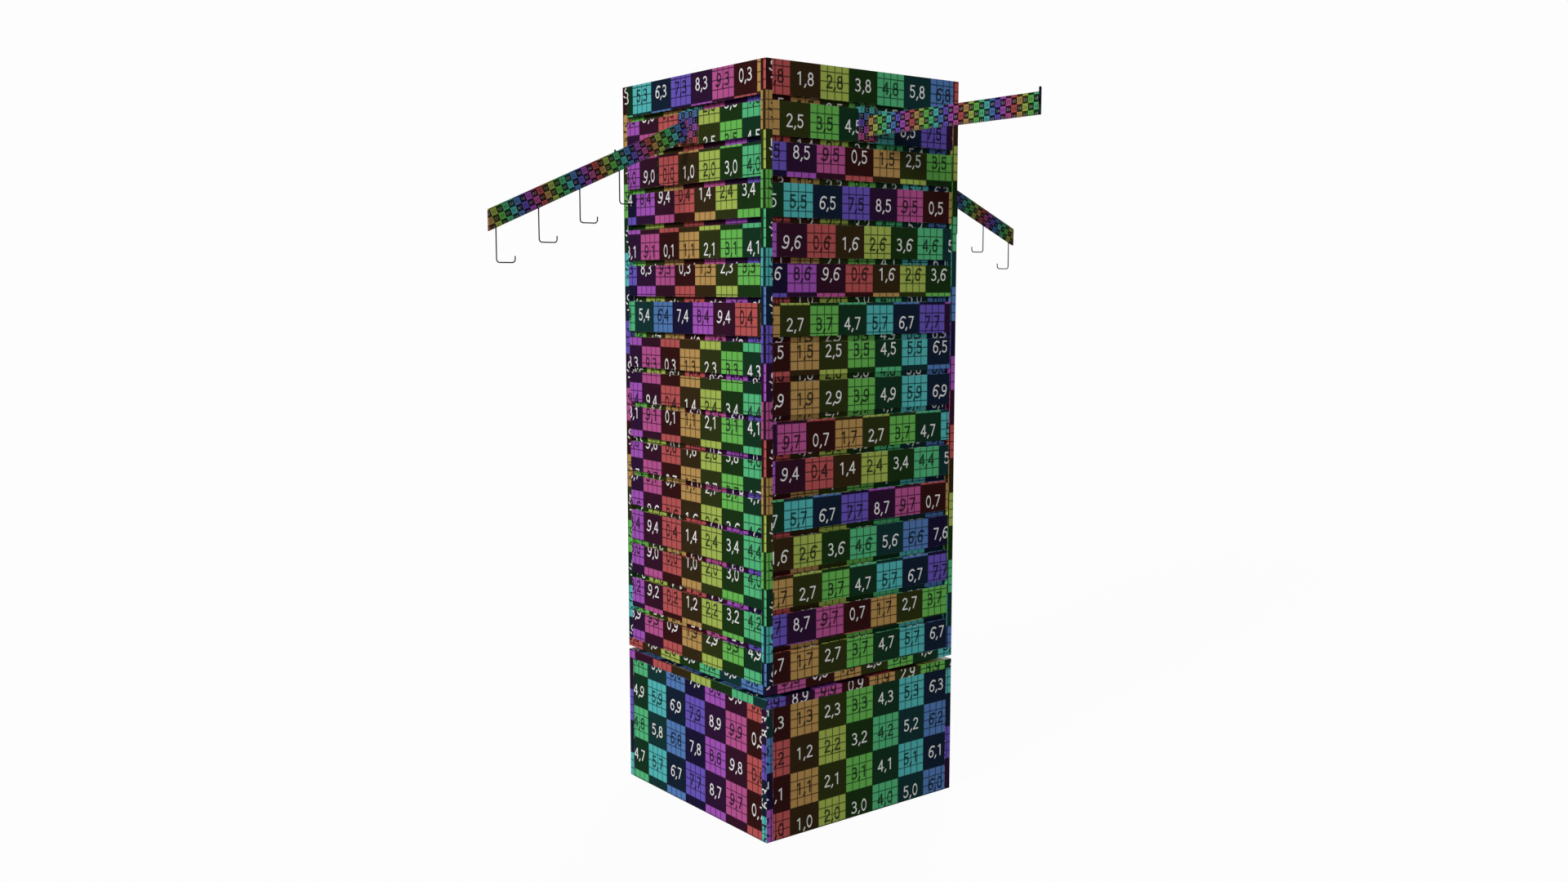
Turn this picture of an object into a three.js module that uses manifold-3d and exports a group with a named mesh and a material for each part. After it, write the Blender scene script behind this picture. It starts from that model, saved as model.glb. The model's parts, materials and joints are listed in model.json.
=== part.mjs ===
// A four-sided revolving slatwall display tower: a square plinth, a ball bearing hidden in the
// thin gap above it, and a tower of grooved panels that carries four hanging arms.
//
// Units are millimetres and +Z is up. The origin is the middle of the footprint, on the floor.
// The front face looks along -Y and carries a sloped waterfall arm, as the back face does. The
// right (+X) and left (-X) faces carry straight arms.

import * as THREE from 'three';
import { mergeVertices } from 'three/addons/utils/BufferGeometryUtils.js';
import Module from 'manifold-3d';

const wasm = await Module();
wasm.setup();

// ---- driving dimensions --------------------------------------------------------------------

const INCH = 25.4;
const GAP = 0.3; // free space kept between pieces that touch

// plan
const FOOTPRINT = 20 * INCH;
const HALF = FOOTPRINT / 2;
const POST = INCH * 5 / 8; // square corner post, seen as a strip on both of its faces
const BOARD = INCH * 3 / 4; // thickness of every panel and board
const TOP_BOARD = INCH / 2; // thinner lid inside the tower's top

// heights
const GLIDE_HEIGHT = 3; // nail-on glides lift the plinth off the floor
const PLINTH_HEIGHT = 11.5 * INCH;
const BEARING_HEIGHT = INCH * 5 / 16;

// slatwall
const SLAT_PITCH = 3 * INCH;
const SLOT_COUNT = 15;
const LAST_SLAT = 2.5 * INCH; // the lowest slat, which runs down to the bottom board
const PANEL_HEIGHT = SLOT_COUNT * SLAT_PITCH + LAST_SLAT;
const THROAT_HEIGHT = 11; // mouth of the T-slot
const THROAT_DEPTH = 7.5; // thickness of the lips beside the mouth
const SLOT_DEPTH = 12.7; // face to back wall
const LIP_REACH = 4.8; // how far the inner channel runs up and down behind the lips

// arms, all cut from one flat steel bar
const STEEL = 4.8;
const STRAIGHT_DEPTH = 39.6; // top edge to bottom edge of the straight bar
const STRAIGHT_REACH = 450; // panel face to the bar's end
const STRAIGHT_DROP = 13.4; // slot's lower edge down to the straight bar's top edge
const STRAIGHT_PLATE_WIDTH = 48;
const TAB_THICKNESS = 2.4;
const TAB_RISE = 8.6; // end tab above the bar

const WATERFALL_REACH = 448;
const WATERFALL_DROP = 12.2; // slot's lower edge down to the sloped bar's top edge at the panel
const WATERFALL_CUT = 40.1; // upright depth of the sloped bar, at its plumb-cut end
const WATERFALL_FALL = 0.438; // fall per unit of reach
const WATERFALL_PLATE_WIDTH = 62;
const BRACKET_DROP = 2.5 * INCH; // bracket plate below the slot
const TONGUE = 2.9; // tongue that enters the slot, and its upturned lip
const PLATE_STANDOFF = 0.4; // bracket plate off the slat's face
const LIP_CLEARANCE = 0.5; // upturned lip off the back of the slot's mouth
const LIP_SHORT = 0.8; // upturned lip below the top of the inner channel

const HOOK_COUNT = 5;
const HOOK_PITCH = 3.5 * INCH;
const FIRST_HOOK = 77; // panel face to the nearest hook
const WIRE = 2.4;
const HOOK_DROP = 63.5; // bar's underside to the middle of the hook's leg
const HOOK_LEG = 1.5 * INCH;
const HOOK_RISE = INCH / 2;
const HOOK_BEND = INCH / 4;

// bearing, a 12 inch square turntable swivel
const SWIVEL_SIDE = 12 * INCH;
const SWIVEL_PLATE = 1.5;
const SWIVEL_BORE = 70;
const RACE_RADIUS = 110;
const BALL_COUNT = 12;
const BALL_DIAMETER = 4.2;
const CAGE_HALF_WIDTH = 4;
const CAGE_HALF_THICKNESS = 0.8;
const LOWER_SCREW_AT = 138;
const UPPER_SCREW_AT = 124; // further in, so that the turning screw heads miss the fixed ones

// small parts
const GLIDE_RADIUS = 12.5;
const GLIDE_CHAMFER = 2;
const GLIDE_AT = 205;
const NAIL_RADIUS = 1;
const NAIL_LENGTH = 12;
const SCREW_RADIUS = 2;
const SCREW_HEAD_RADIUS = 4.2;
const SCREW_HEAD_HEIGHT = 2;
const SCREW_LENGTH = 14;
const SCREW_POINT = 2;
const NAIL_POINT = 2;
const CLEAT = 22;

// ---- worked-out levels ---------------------------------------------------------------------

const plinthBottom = GLIDE_HEIGHT;
const plinthTop = plinthBottom + PLINTH_HEIGHT;
const boardBottom = plinthTop + BEARING_HEIGHT;
const panelBottom = boardBottom + BOARD;
const towerTop = panelBottom + PANEL_HEIGHT;
const armSlotLevel = towerTop - SLAT_PITCH; // lower edge of the highest slot, which holds the arms
const insideHalf = HALF - BOARD - GAP; // half the clear width between opposite panels

// ---- materials -----------------------------------------------------------------------------

const laminateGreen = { color: 0x5fb070, roughness: 0.45, metalness: 0 };
const laminateBlue = { color: 0x4f78b4, roughness: 0.45, metalness: 0 };
const laminateViolet = { color: 0x7a4fae, roughness: 0.45, metalness: 0 };
const rawBoard = { color: 0xb59a76, roughness: 0.85, metalness: 0 };
const coatedSteel = { color: 0x3f8f8a, roughness: 0.4, metalness: 0.3 };
const darkWire = { color: 0x2a2c30, roughness: 0.35, metalness: 0.6 };
const zincSteel = { color: 0xb8bcc0, roughness: 0.3, metalness: 0.9 };
const glidePlastic = { color: 0x222222, roughness: 0.6, metalness: 0 };

function mesh(name, geometry, look) {
  const piece = new THREE.Mesh(geometry, new THREE.MeshStandardMaterial(look));
  piece.name = name;
  return piece;
}

// ---- geometry helpers ----------------------------------------------------------------------

const X = new THREE.Vector3(1, 0, 0);
const Y = new THREE.Vector3(0, 1, 0);
const Z = new THREE.Vector3(0, 0, 1);

// A shape drawn in (y, z), extruded along x and centred on x = 0.
function sideways(shape, width, curveSegments = 4) {
  const geometry = new THREE.ExtrudeGeometry(shape, { depth: width, bevelEnabled: false, curveSegments });
  geometry.translate(0, 0, -width / 2);
  geometry.applyMatrix4(new THREE.Matrix4().makeBasis(Y, Z, X));
  return geometry;
}

// A shape drawn in (x, y), extruded upwards from a level.
function upright(shape, bottom, height, curveSegments = 6) {
  const geometry = new THREE.ExtrudeGeometry(shape, { depth: height, bevelEnabled: false, curveSegments });
  geometry.translate(0, 0, bottom);
  return geometry;
}

function outline(points) {
  return new THREE.Shape(points.map(([a, b]) => new THREE.Vector2(a, b)));
}

function square(half) {
  return outline([[-half, -half], [half, -half], [half, half], [-half, half]]);
}

function addHole(shape, x, y, radius) {
  const hole = new THREE.Path();
  hole.absarc(x, y, radius, 0, 2 * Math.PI, true);
  shape.holes.push(hole);
}

// The four points at the same distance from both centre lines.
function corners(distance) {
  return [[-distance, -distance], [distance, -distance], [distance, distance], [-distance, distance]];
}

function lathe(profile, segments) {
  const points = profile.map(([radius, height]) => new THREE.Vector2(radius, height));
  const geometry = new THREE.LatheGeometry(points, segments);
  geometry.rotateX(Math.PI / 2);
  return geometry;
}

function toSolid(geometry) {
  const bare = geometry.clone();
  bare.deleteAttribute('normal');
  bare.deleteAttribute('uv');
  const merged = mergeVertices(bare, 1e-4);
  return new wasm.Manifold(new wasm.Mesh({
    numProp: 3,
    vertProperties: new Float32Array(merged.attributes.position.array),
    triVerts: new Uint32Array(merged.index.array),
  }));
}

function fromSolid(solid) {
  const result = solid.getMesh();
  const geometry = new THREE.BufferGeometry();
  geometry.setAttribute('position', new THREE.BufferAttribute(new Float32Array(result.vertProperties), 3));
  geometry.setIndex(new THREE.BufferAttribute(new Uint32Array(result.triVerts), 1));
  geometry.computeVertexNormals();
  return geometry;
}

// ---- panels, boards and posts --------------------------------------------------------------

// Plan of a panel on the front face: full width between the posts, its back corners mitred so
// that it clears the panels on the two neighbouring faces.
function panelPlan() {
  const wide = HALF - POST - GAP;
  const narrow = HALF - BOARD - GAP;
  return outline([
    [-wide, -HALF],
    [wide, -HALF],
    [wide, -wide - GAP],
    [narrow, -narrow - GAP],
    [-narrow, -narrow - GAP],
    [-wide, -wide - GAP],
  ]);
}

// Upright section of a slatted panel: a board with a T-slot cut in its face at every pitch.
function slatSection() {
  const face = -HALF;
  const lipBack = face + THROAT_DEPTH;
  const slotBack = face + SLOT_DEPTH;
  const points = [[face, panelBottom]];
  for (let slot = SLOT_COUNT; slot >= 1; slot -= 1) {
    const low = towerTop - slot * SLAT_PITCH;
    const high = low + THROAT_HEIGHT;
    points.push([face, low], [lipBack, low], [lipBack, low - LIP_REACH], [slotBack, low - LIP_REACH]);
    points.push([slotBack, high + LIP_REACH], [lipBack, high + LIP_REACH], [lipBack, high], [face, high]);
  }
  points.push([face, towerTop], [face + BOARD, towerTop], [face + BOARD, panelBottom]);
  return outline(points);
}

function slatPanel() {
  const grooved = toSolid(sideways(slatSection(), FOOTPRINT));
  const plan = toSolid(upright(panelPlan(), panelBottom - BOARD, PANEL_HEIGHT + 2 * BOARD));
  return fromSolid(grooved.intersect(plan));
}

function plinthPanel() {
  return upright(panelPlan(), plinthBottom, PLINTH_HEIGHT - BOARD - GAP);
}

// A square post in the front left corner.
function post(bottom, height) {
  const inner = POST - HALF;
  return upright(outline([[-HALF, -HALF], [inner, -HALF], [inner, inner], [-HALF, inner]]), bottom, height);
}

function board(half, bottom, thickness, holesAt, holeRadius) {
  const shape = square(half);
  for (const [x, y] of corners(holesAt)) {
    addHole(shape, x, y, holeRadius);
  }
  return upright(shape, bottom, thickness);
}

// A square glue block up the inside of the front left corner of the tower.
function cleat() {
  const near = -HALF + BOARD + GAP;
  const far = near + CLEAT;
  const bottom = panelBottom + GAP;
  const height = PANEL_HEIGHT - TOP_BOARD - 2 * GAP;
  return upright(outline([[near, near], [far, near], [far, far], [near, far]]), bottom, height);
}

// ---- glides and bearing --------------------------------------------------------------------

function glide(x, y) {
  const rim = GLIDE_HEIGHT - GAP;
  const geometry = lathe([
    [0, 0],
    [GLIDE_RADIUS - GLIDE_CHAMFER, 0],
    [GLIDE_RADIUS, GLIDE_CHAMFER / 2],
    [GLIDE_RADIUS, rim],
    [NAIL_RADIUS, rim],
    [NAIL_RADIUS, NAIL_LENGTH],
    [0, NAIL_LENGTH + NAIL_POINT],
  ], 20);
  return geometry.translate(x, y, 0);
}

function swivelPlate(bottom, screwsAt) {
  const shape = square(SWIVEL_SIDE / 2);
  addHole(shape, 0, 0, SWIVEL_BORE);
  for (const [x, y] of corners(screwsAt)) {
    addHole(shape, x, y, SCREW_RADIUS + GAP);
  }
  return upright(shape, bottom, SWIVEL_PLATE, 8);
}

// Balls held at equal angles in a flat ring, half way between the two plates.
function ballRing() {
  const level = plinthTop + BEARING_HEIGHT / 2;
  const inner = RACE_RADIUS - CAGE_HALF_WIDTH;
  const outer = RACE_RADIUS + CAGE_HALF_WIDTH;
  const band = lathe([
    [inner, -CAGE_HALF_THICKNESS],
    [outer, -CAGE_HALF_THICKNESS],
    [outer, CAGE_HALF_THICKNESS],
    [inner, CAGE_HALF_THICKNESS],
    [inner, -CAGE_HALF_THICKNESS],
  ], 32);
  let ring = toSolid(band);
  for (let index = 0; index < BALL_COUNT; index += 1) {
    const angle = 2 * Math.PI * (index + 0.5) / BALL_COUNT;
    const ball = new THREE.IcosahedronGeometry(BALL_DIAMETER / 2, 1);
    ball.translate(RACE_RADIUS * Math.cos(angle), RACE_RADIUS * Math.sin(angle), 0);
    ring = ring.add(toSolid(ball));
  }
  return fromSolid(ring).translate(0, 0, level);
}

// A pan-head screw pointing down from z = 0, where the underside of its head rests.
function screw() {
  return lathe([
    [0, -SCREW_LENGTH - SCREW_POINT],
    [SCREW_RADIUS, -SCREW_LENGTH],
    [SCREW_RADIUS, GAP],
    [SCREW_HEAD_RADIUS, GAP],
    [SCREW_HEAD_RADIUS, SCREW_HEAD_HEIGHT / 2],
    [SCREW_HEAD_RADIUS - SCREW_HEAD_HEIGHT / 2, SCREW_HEAD_HEIGHT],
    [0, SCREW_HEAD_HEIGHT],
  ], 12);
}

function screwSet(name, distance, level, upsideDown) {
  const set = new THREE.Group();
  corners(distance).forEach(([x, y], index) => {
    const piece = mesh(`${name}_${index + 1}`, screw(), zincSteel);
    piece.position.set(x, y, level);
    piece.rotation.x = upsideDown ? Math.PI : 0;
    set.add(piece);
  });
  return set;
}

// ---- arms, drawn on the front face ---------------------------------------------------------

// Distance out from the front face, as a y coordinate.
function out(distance) {
  return -HALF - distance;
}

const plateFront = PLATE_STANDOFF + STEEL;
const barStart = plateFront + GAP;

// A Z-shaped bracket: the plate lies on the slat, its tongue enters the slot above, and the lip
// at the back of the tongue stands up behind the next slat.
function bracket(width) {
  const lipFront = -THROAT_DEPTH - LIP_CLEARANCE;
  const lipBack = lipFront - TONGUE;
  const tongueLow = armSlotLevel + GAP;
  const tongueHigh = tongueLow + TONGUE;
  const lipTop = armSlotLevel + THROAT_HEIGHT + LIP_REACH - LIP_SHORT;
  return sideways(outline([
    [out(plateFront), armSlotLevel - BRACKET_DROP],
    [out(PLATE_STANDOFF), armSlotLevel - BRACKET_DROP],
    [out(PLATE_STANDOFF), tongueLow],
    [out(lipBack), tongueLow],
    [out(lipBack), lipTop],
    [out(lipFront), lipTop],
    [out(lipFront), tongueHigh],
    [out(plateFront), tongueHigh],
  ]), width);
}

function straightBar() {
  const top = armSlotLevel - STRAIGHT_DROP;
  return sideways(outline([
    [out(barStart), top - STRAIGHT_DEPTH],
    [out(STRAIGHT_REACH), top - STRAIGHT_DEPTH],
    [out(STRAIGHT_REACH), top],
    [out(barStart), top],
  ]), STEEL);
}

// The round-topped tab that closes the end of a straight bar and stops hangers sliding off.
function endTab() {
  const bottom = armSlotLevel - STRAIGHT_DROP - STRAIGHT_DEPTH;
  const roundAt = armSlotLevel - STRAIGHT_DROP + TAB_RISE - STEEL / 2;
  const shape = new THREE.Shape();
  shape.moveTo(-STEEL / 2, bottom);
  shape.lineTo(STEEL / 2, bottom);
  shape.lineTo(STEEL / 2, roundAt);
  shape.absarc(0, roundAt, STEEL / 2, 0, Math.PI, false);
  shape.closePath();
  const options = { depth: TAB_THICKNESS, bevelEnabled: false, curveSegments: 8 };
  const geometry = new THREE.ExtrudeGeometry(shape, options);
  geometry.rotateX(Math.PI / 2);
  return geometry.translate(0, out(STRAIGHT_REACH + GAP), 0);
}

function waterfallTop(reach) {
  return armSlotLevel - WATERFALL_DROP - WATERFALL_FALL * reach;
}

function waterfallBar() {
  return sideways(outline([
    [out(barStart), waterfallTop(barStart) - WATERFALL_CUT],
    [out(WATERFALL_REACH), waterfallTop(WATERFALL_REACH) - WATERFALL_CUT],
    [out(WATERFALL_REACH), waterfallTop(WATERFALL_REACH)],
    [out(barStart), waterfallTop(barStart)],
  ]), STEEL);
}

// The centre line of a hook's wire, in the plane x = 0.
class HookRoute extends THREE.Curve {
  constructor(index) {
    super();
    const reach = FIRST_HOOK + index * HOOK_PITCH;
    const underside = waterfallTop(reach + WIRE / 2) - WATERFALL_CUT;
    const legLevel = waterfallTop(reach) - WATERFALL_CUT - HOOK_DROP;
    const bendLevel = legLevel + HOOK_BEND;
    const shank = out(reach);
    const tip = shank + HOOK_LEG;
    this.flat = new THREE.Path();
    this.flat.moveTo(shank, underside - GAP);
    this.flat.lineTo(shank, bendLevel);
    this.flat.absarc(shank + HOOK_BEND, bendLevel, HOOK_BEND, Math.PI, 1.5 * Math.PI, false);
    this.flat.absarc(tip - HOOK_BEND, bendLevel, HOOK_BEND, 1.5 * Math.PI, 2 * Math.PI, false);
    this.flat.lineTo(tip, legLevel + HOOK_RISE);
  }

  getPoint(along) {
    const point = this.flat.getPoint(along);
    return new THREE.Vector3(0, point.x, point.y);
  }
}

// A J of round wire: down from the bar, along a leg that points back to the tower, and up.
function hook(index) {
  const section = new THREE.Shape();
  section.absarc(0, 0, WIRE / 2, 0, 2 * Math.PI, false);
  const options = { steps: 36, curveSegments: 4, extrudePath: new HookRoute(index) };
  return new THREE.ExtrudeGeometry(section, options);
}

function waterfallArm(side) {
  const arm = new THREE.Group();
  arm.add(mesh(`waterfall_bracket_${side}`, bracket(WATERFALL_PLATE_WIDTH), coatedSteel));
  arm.add(mesh(`waterfall_bar_${side}`, waterfallBar(), coatedSteel));
  for (let index = 0; index < HOOK_COUNT; index += 1) {
    arm.add(mesh(`waterfall_hook_${side}_${index + 1}`, hook(index), darkWire));
  }
  return arm;
}

function straightArm(side) {
  const arm = new THREE.Group();
  arm.add(mesh(`straight_bracket_${side}`, bracket(STRAIGHT_PLATE_WIDTH), coatedSteel));
  arm.add(mesh(`straight_bar_${side}`, straightBar(), coatedSteel));
  arm.add(mesh(`straight_end_tab_${side}`, endTab(), darkWire));
  return arm;
}

// ---- assembly ------------------------------------------------------------------------------

const SIDES = ['front', 'right', 'back', 'left'];
const CORNERS = ['front_left', 'front_right', 'back_right', 'back_left'];

// Adds one piece for each quarter turn about the tower's axis.
function aroundAxis(parent, names, build) {
  names.forEach((name, quarter) => {
    const turned = new THREE.Group();
    turned.rotation.z = quarter * Math.PI / 2;
    turned.add(build(name));
    parent.add(turned);
  });
}

function plinth() {
  const group = new THREE.Group();
  const wallHeight = PLINTH_HEIGHT - BOARD - GAP;
  const lidBottom = plinthTop - BOARD;
  const screwHole = SCREW_RADIUS + GAP;
  const nailHole = NAIL_RADIUS + GAP;
  const floor = board(insideHalf, plinthBottom, BOARD, GLIDE_AT, nailHole);
  const lid = board(HALF, lidBottom, BOARD, LOWER_SCREW_AT, screwHole);
  group.add(mesh('plinth_floor_board', floor, rawBoard));
  group.add(mesh('plinth_top_board', lid, laminateViolet));
  aroundAxis(group, SIDES, (side) => mesh(`plinth_panel_${side}`, plinthPanel(), laminateBlue));
  aroundAxis(group, CORNERS, (corner) => {
    return mesh(`plinth_post_${corner}`, post(plinthBottom, wallHeight), laminateGreen);
  });
  corners(GLIDE_AT).forEach(([x, y], index) => {
    group.add(mesh(`floor_glide_${CORNERS[index]}`, glide(x, y), glidePlastic));
  });
  return group;
}

function bearing() {
  const group = new THREE.Group();
  const lowerPlate = plinthTop + GAP;
  const upperPlate = boardBottom - GAP - SWIVEL_PLATE;
  group.add(mesh('swivel_lower_plate', swivelPlate(lowerPlate, LOWER_SCREW_AT), zincSteel));
  group.add(screwSet('swivel_lower_screw', LOWER_SCREW_AT, lowerPlate + SWIVEL_PLATE, false));
  group.add(mesh('swivel_ball_ring', ballRing(), zincSteel));
  group.add(mesh('swivel_upper_plate', swivelPlate(upperPlate, UPPER_SCREW_AT), zincSteel));
  group.add(screwSet('swivel_upper_screw', UPPER_SCREW_AT, upperPlate, true));
  return group;
}

function tower() {
  const group = new THREE.Group();
  const lidBottom = towerTop - TOP_BOARD;
  const screwHole = SCREW_RADIUS + GAP;
  const floor = board(HALF, boardBottom, BOARD - GAP, UPPER_SCREW_AT, screwHole);
  group.add(mesh('tower_bottom_board', floor, laminateViolet));
  aroundAxis(group, SIDES, (side) => mesh(`slat_panel_${side}`, slatPanel(), laminateGreen));
  aroundAxis(group, CORNERS, (corner) => {
    return mesh(`tower_post_${corner}`, post(panelBottom, PANEL_HEIGHT), laminateBlue);
  });
  aroundAxis(group, CORNERS, (corner) => mesh(`tower_cleat_${corner}`, cleat(), rawBoard));
  group.add(mesh('tower_top_board', upright(square(insideHalf), lidBottom, TOP_BOARD), laminateViolet));
  aroundAxis(group, SIDES, (side) => {
    return side === 'front' || side === 'back' ? waterfallArm(side) : straightArm(side);
  });
  return group;
}

const displayTower = new THREE.Group();
displayTower.add(plinth(), bearing(), tower());

export default displayTower;
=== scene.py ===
# Looks for the revolving slatwall display tower. Every shown piece is built here in mesh code
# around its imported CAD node, rides that node's body, and is covered by a procedural material.

import json
import math

import bmesh
import bpy
from mathutils import Matrix, Vector


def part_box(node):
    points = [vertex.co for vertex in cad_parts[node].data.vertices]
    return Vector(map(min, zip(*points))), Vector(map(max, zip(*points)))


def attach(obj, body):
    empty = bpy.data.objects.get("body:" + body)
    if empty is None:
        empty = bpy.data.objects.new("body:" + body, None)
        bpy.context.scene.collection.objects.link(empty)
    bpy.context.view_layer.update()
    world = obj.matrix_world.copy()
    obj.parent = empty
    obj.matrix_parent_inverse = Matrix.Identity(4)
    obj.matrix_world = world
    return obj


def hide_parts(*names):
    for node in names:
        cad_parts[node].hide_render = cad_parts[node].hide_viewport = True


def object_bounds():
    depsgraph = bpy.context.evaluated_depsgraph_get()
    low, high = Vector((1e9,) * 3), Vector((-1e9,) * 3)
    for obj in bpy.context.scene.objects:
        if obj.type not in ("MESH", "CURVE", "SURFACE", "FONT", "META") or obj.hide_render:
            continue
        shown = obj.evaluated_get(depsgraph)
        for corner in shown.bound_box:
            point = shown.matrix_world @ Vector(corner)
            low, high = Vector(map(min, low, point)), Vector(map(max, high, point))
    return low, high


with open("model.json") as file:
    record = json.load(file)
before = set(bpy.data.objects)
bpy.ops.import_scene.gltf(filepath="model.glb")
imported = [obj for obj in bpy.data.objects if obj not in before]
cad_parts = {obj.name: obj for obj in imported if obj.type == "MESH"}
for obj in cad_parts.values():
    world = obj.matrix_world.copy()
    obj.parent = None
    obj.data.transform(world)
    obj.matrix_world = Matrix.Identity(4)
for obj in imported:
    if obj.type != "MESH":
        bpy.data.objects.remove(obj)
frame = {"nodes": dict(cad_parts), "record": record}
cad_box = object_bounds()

# ---- driving values, in metres -----------------------------------------------------------------

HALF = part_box("tower_bottom_board")[1].x  # half of the square footprint
TOWER_TOP = cad_box[1].z
SLAT_PITCH = 0.0762
LIP_THICKNESS = 0.0075  # slat in front of the slot's inner channel

BOARD_TILE = 0.07346  # one square of the print on boards, panels and posts
ARM_TILE = 0.0131  # one square of the print on the steel arms

BOARD_EDGE = 0.0006  # eased edges of printed boards
RAW_EDGE = 0.0008
STEEL_EDGE = 0.0005
PRESSED_EDGE = 0.00025
BEND_RADIUS = 0.0012  # outside corners of the pressed brackets
WELD_RADIUS = 0.0013
WELD_STEP = 0.0012  # length of weld between the points of its path
WELD_RIPPLE_STEPS = 5
WELD_SWELL = 0.10  # how much thicker a weld is at a ripple
BEAD_SIDES = 8
HOOK_COUNT = 5
HOOK_SIDES = 14
HOOK_BEND = 0.00635
HOOK_WELD_LIFT = 0.0003
HOOK_RISE = 0.0127  # upturned end of a hook, above the middle of its leg
WATERFALL_FALL = 0.438  # fall of the sloped bar per unit of reach
BALL_COUNT = 12
RACE_RADIUS = 0.110
STUDIO_RADIUS = 60.0
FACING = 0.7  # a unit normal with more than this along an axis faces that way

SIDES = ("front", "right", "back", "left")
CORNERS = ("front_left", "front_right", "back_right", "back_left")
OUTWARD = {"front": Vector((0, -1, 0)), "right": Vector((1, 0, 0)),
           "back": Vector((0, 1, 0)), "left": Vector((-1, 0, 0))}
RIGHTWARD = {"front": Vector((1, 0, 0)), "right": Vector((0, 1, 0)),
             "back": Vector((-1, 0, 0)), "left": Vector((0, -1, 0))}
X_AXIS = Vector((1, 0, 0))
Y_AXIS = Vector((0, 1, 0))
UP = Vector((0, 0, 1))

RECORD = frame["record"]
BODY_OF = {node: body for body, nodes in RECORD["behaviour"]["bodies"].items() for node in nodes}
SLOT_OF = {part["node"]: part["material_slot"] for part in RECORD["subparts"]}

# Grid column and grid row of the print at the upper left corner of each slat, from the top down.
# The numbers before the point are the numerals printed in the square.
FRONT_SLATS = (
    (4.45, 3.83), (8.10, 6.40), (8.10, 1.07), (7.32, 4.65),
    (8.10, 2.13), (7.32, 3.58), (4.45, 4.88), (8.10, 4.26),
    (8.10, 5.31), (8.10, 1.68), (8.10, 8.49), (8.10, 7.43),
    (8.10, 4.88), (8.10, 0.61), (8.10, 2.74), (8.10, 9.54),
)
RIGHT_SLATS = (
    (0.20, 8.92), (1.54, 5.98), (7.32, 5.74), (4.43, 5.97),
    (8.64, 6.99), (7.30, 6.77), (1.53, 8.07), (0.20, 5.75),
    (0.19, 9.98), (8.64, 8.07), (8.69, 4.88), (4.41, 8.07),
    (1.09, 7.01), (1.09, 8.08), (7.30, 7.85), (0.19, 7.84),
)
SLATS = {"front": FRONT_SLATS, "right": RIGHT_SLATS, "back": FRONT_SLATS, "left": RIGHT_SLATS}


# ---- camera, light and floor -------------------------------------------------------------------

def link(name, data):
    piece = bpy.data.objects.new(name, data)
    bpy.context.scene.collection.objects.link(piece)
    return piece


def add_camera():
    data = bpy.data.cameras.new("camera")
    data.sensor_fit = "HORIZONTAL"
    data.sensor_width = 36.0
    data.lens = 32.05
    data.clip_start = 0.05
    data.clip_end = 200.0
    camera = link("camera", data)
    camera.location = (2.3763, -1.8734, 1.0991)
    camera.rotation_euler = (math.radians(83.766), 0.0, math.radians(51.9185))
    bpy.context.scene.camera = camera


# Name, direction of travel, energy and angular size in degrees of each soft light.
LIGHTS = (
    ("key", Vector((-0.23, 0.877, -0.42)), 2.20, 18),
    ("front_fill", Vector((-0.787, 0.617, -0.10)), 1.25, 30),
    ("back_fill", Vector((0.62, -0.70, -0.34)), 2.20, 30),
)
SURROUND_STRENGTH = 0.12


def add_lights():
    """Large soft lights, and a faint even white surround."""
    for name, direction, energy, angle in LIGHTS:
        data = bpy.data.lights.new(name, "SUN")
        data.energy = energy
        data.angle = math.radians(angle)
        light = link(name, data)
        light.rotation_mode = "QUATERNION"
        light.rotation_quaternion = direction.to_track_quat("-Z", "Y")

    world = bpy.data.worlds.new("studio")
    world.use_nodes = True
    surround = world.node_tree.nodes["Background"]
    surround.inputs["Color"].default_value = (1.0, 1.0, 1.0, 1.0)
    surround.inputs["Strength"].default_value = SURROUND_STRENGTH
    bpy.context.scene.world = world


def add_stage(name, shape, material):
    """A floor or backdrop that the camera sees, and that sends no light back to the object."""
    data = bpy.data.meshes.new(name)
    shape.to_mesh(data)
    shape.free()
    data.materials.append(material)
    piece = link(name, data)
    piece.visible_diffuse = False
    piece.visible_glossy = False
    return piece


def add_studio():
    floor = bmesh.new()
    bmesh.ops.create_circle(floor, cap_ends=True, segments=96, radius=STUDIO_RADIUS)
    add_stage("studio_floor", floor, floor_material())
    dome = bmesh.new()
    bmesh.ops.create_uvsphere(dome, u_segments=96, v_segments=48, radius=STUDIO_RADIUS)
    backdrop = add_stage("studio_backdrop", dome, backdrop_material())
    backdrop.visible_shadow = False


# ---- shader building ---------------------------------------------------------------------------

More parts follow.
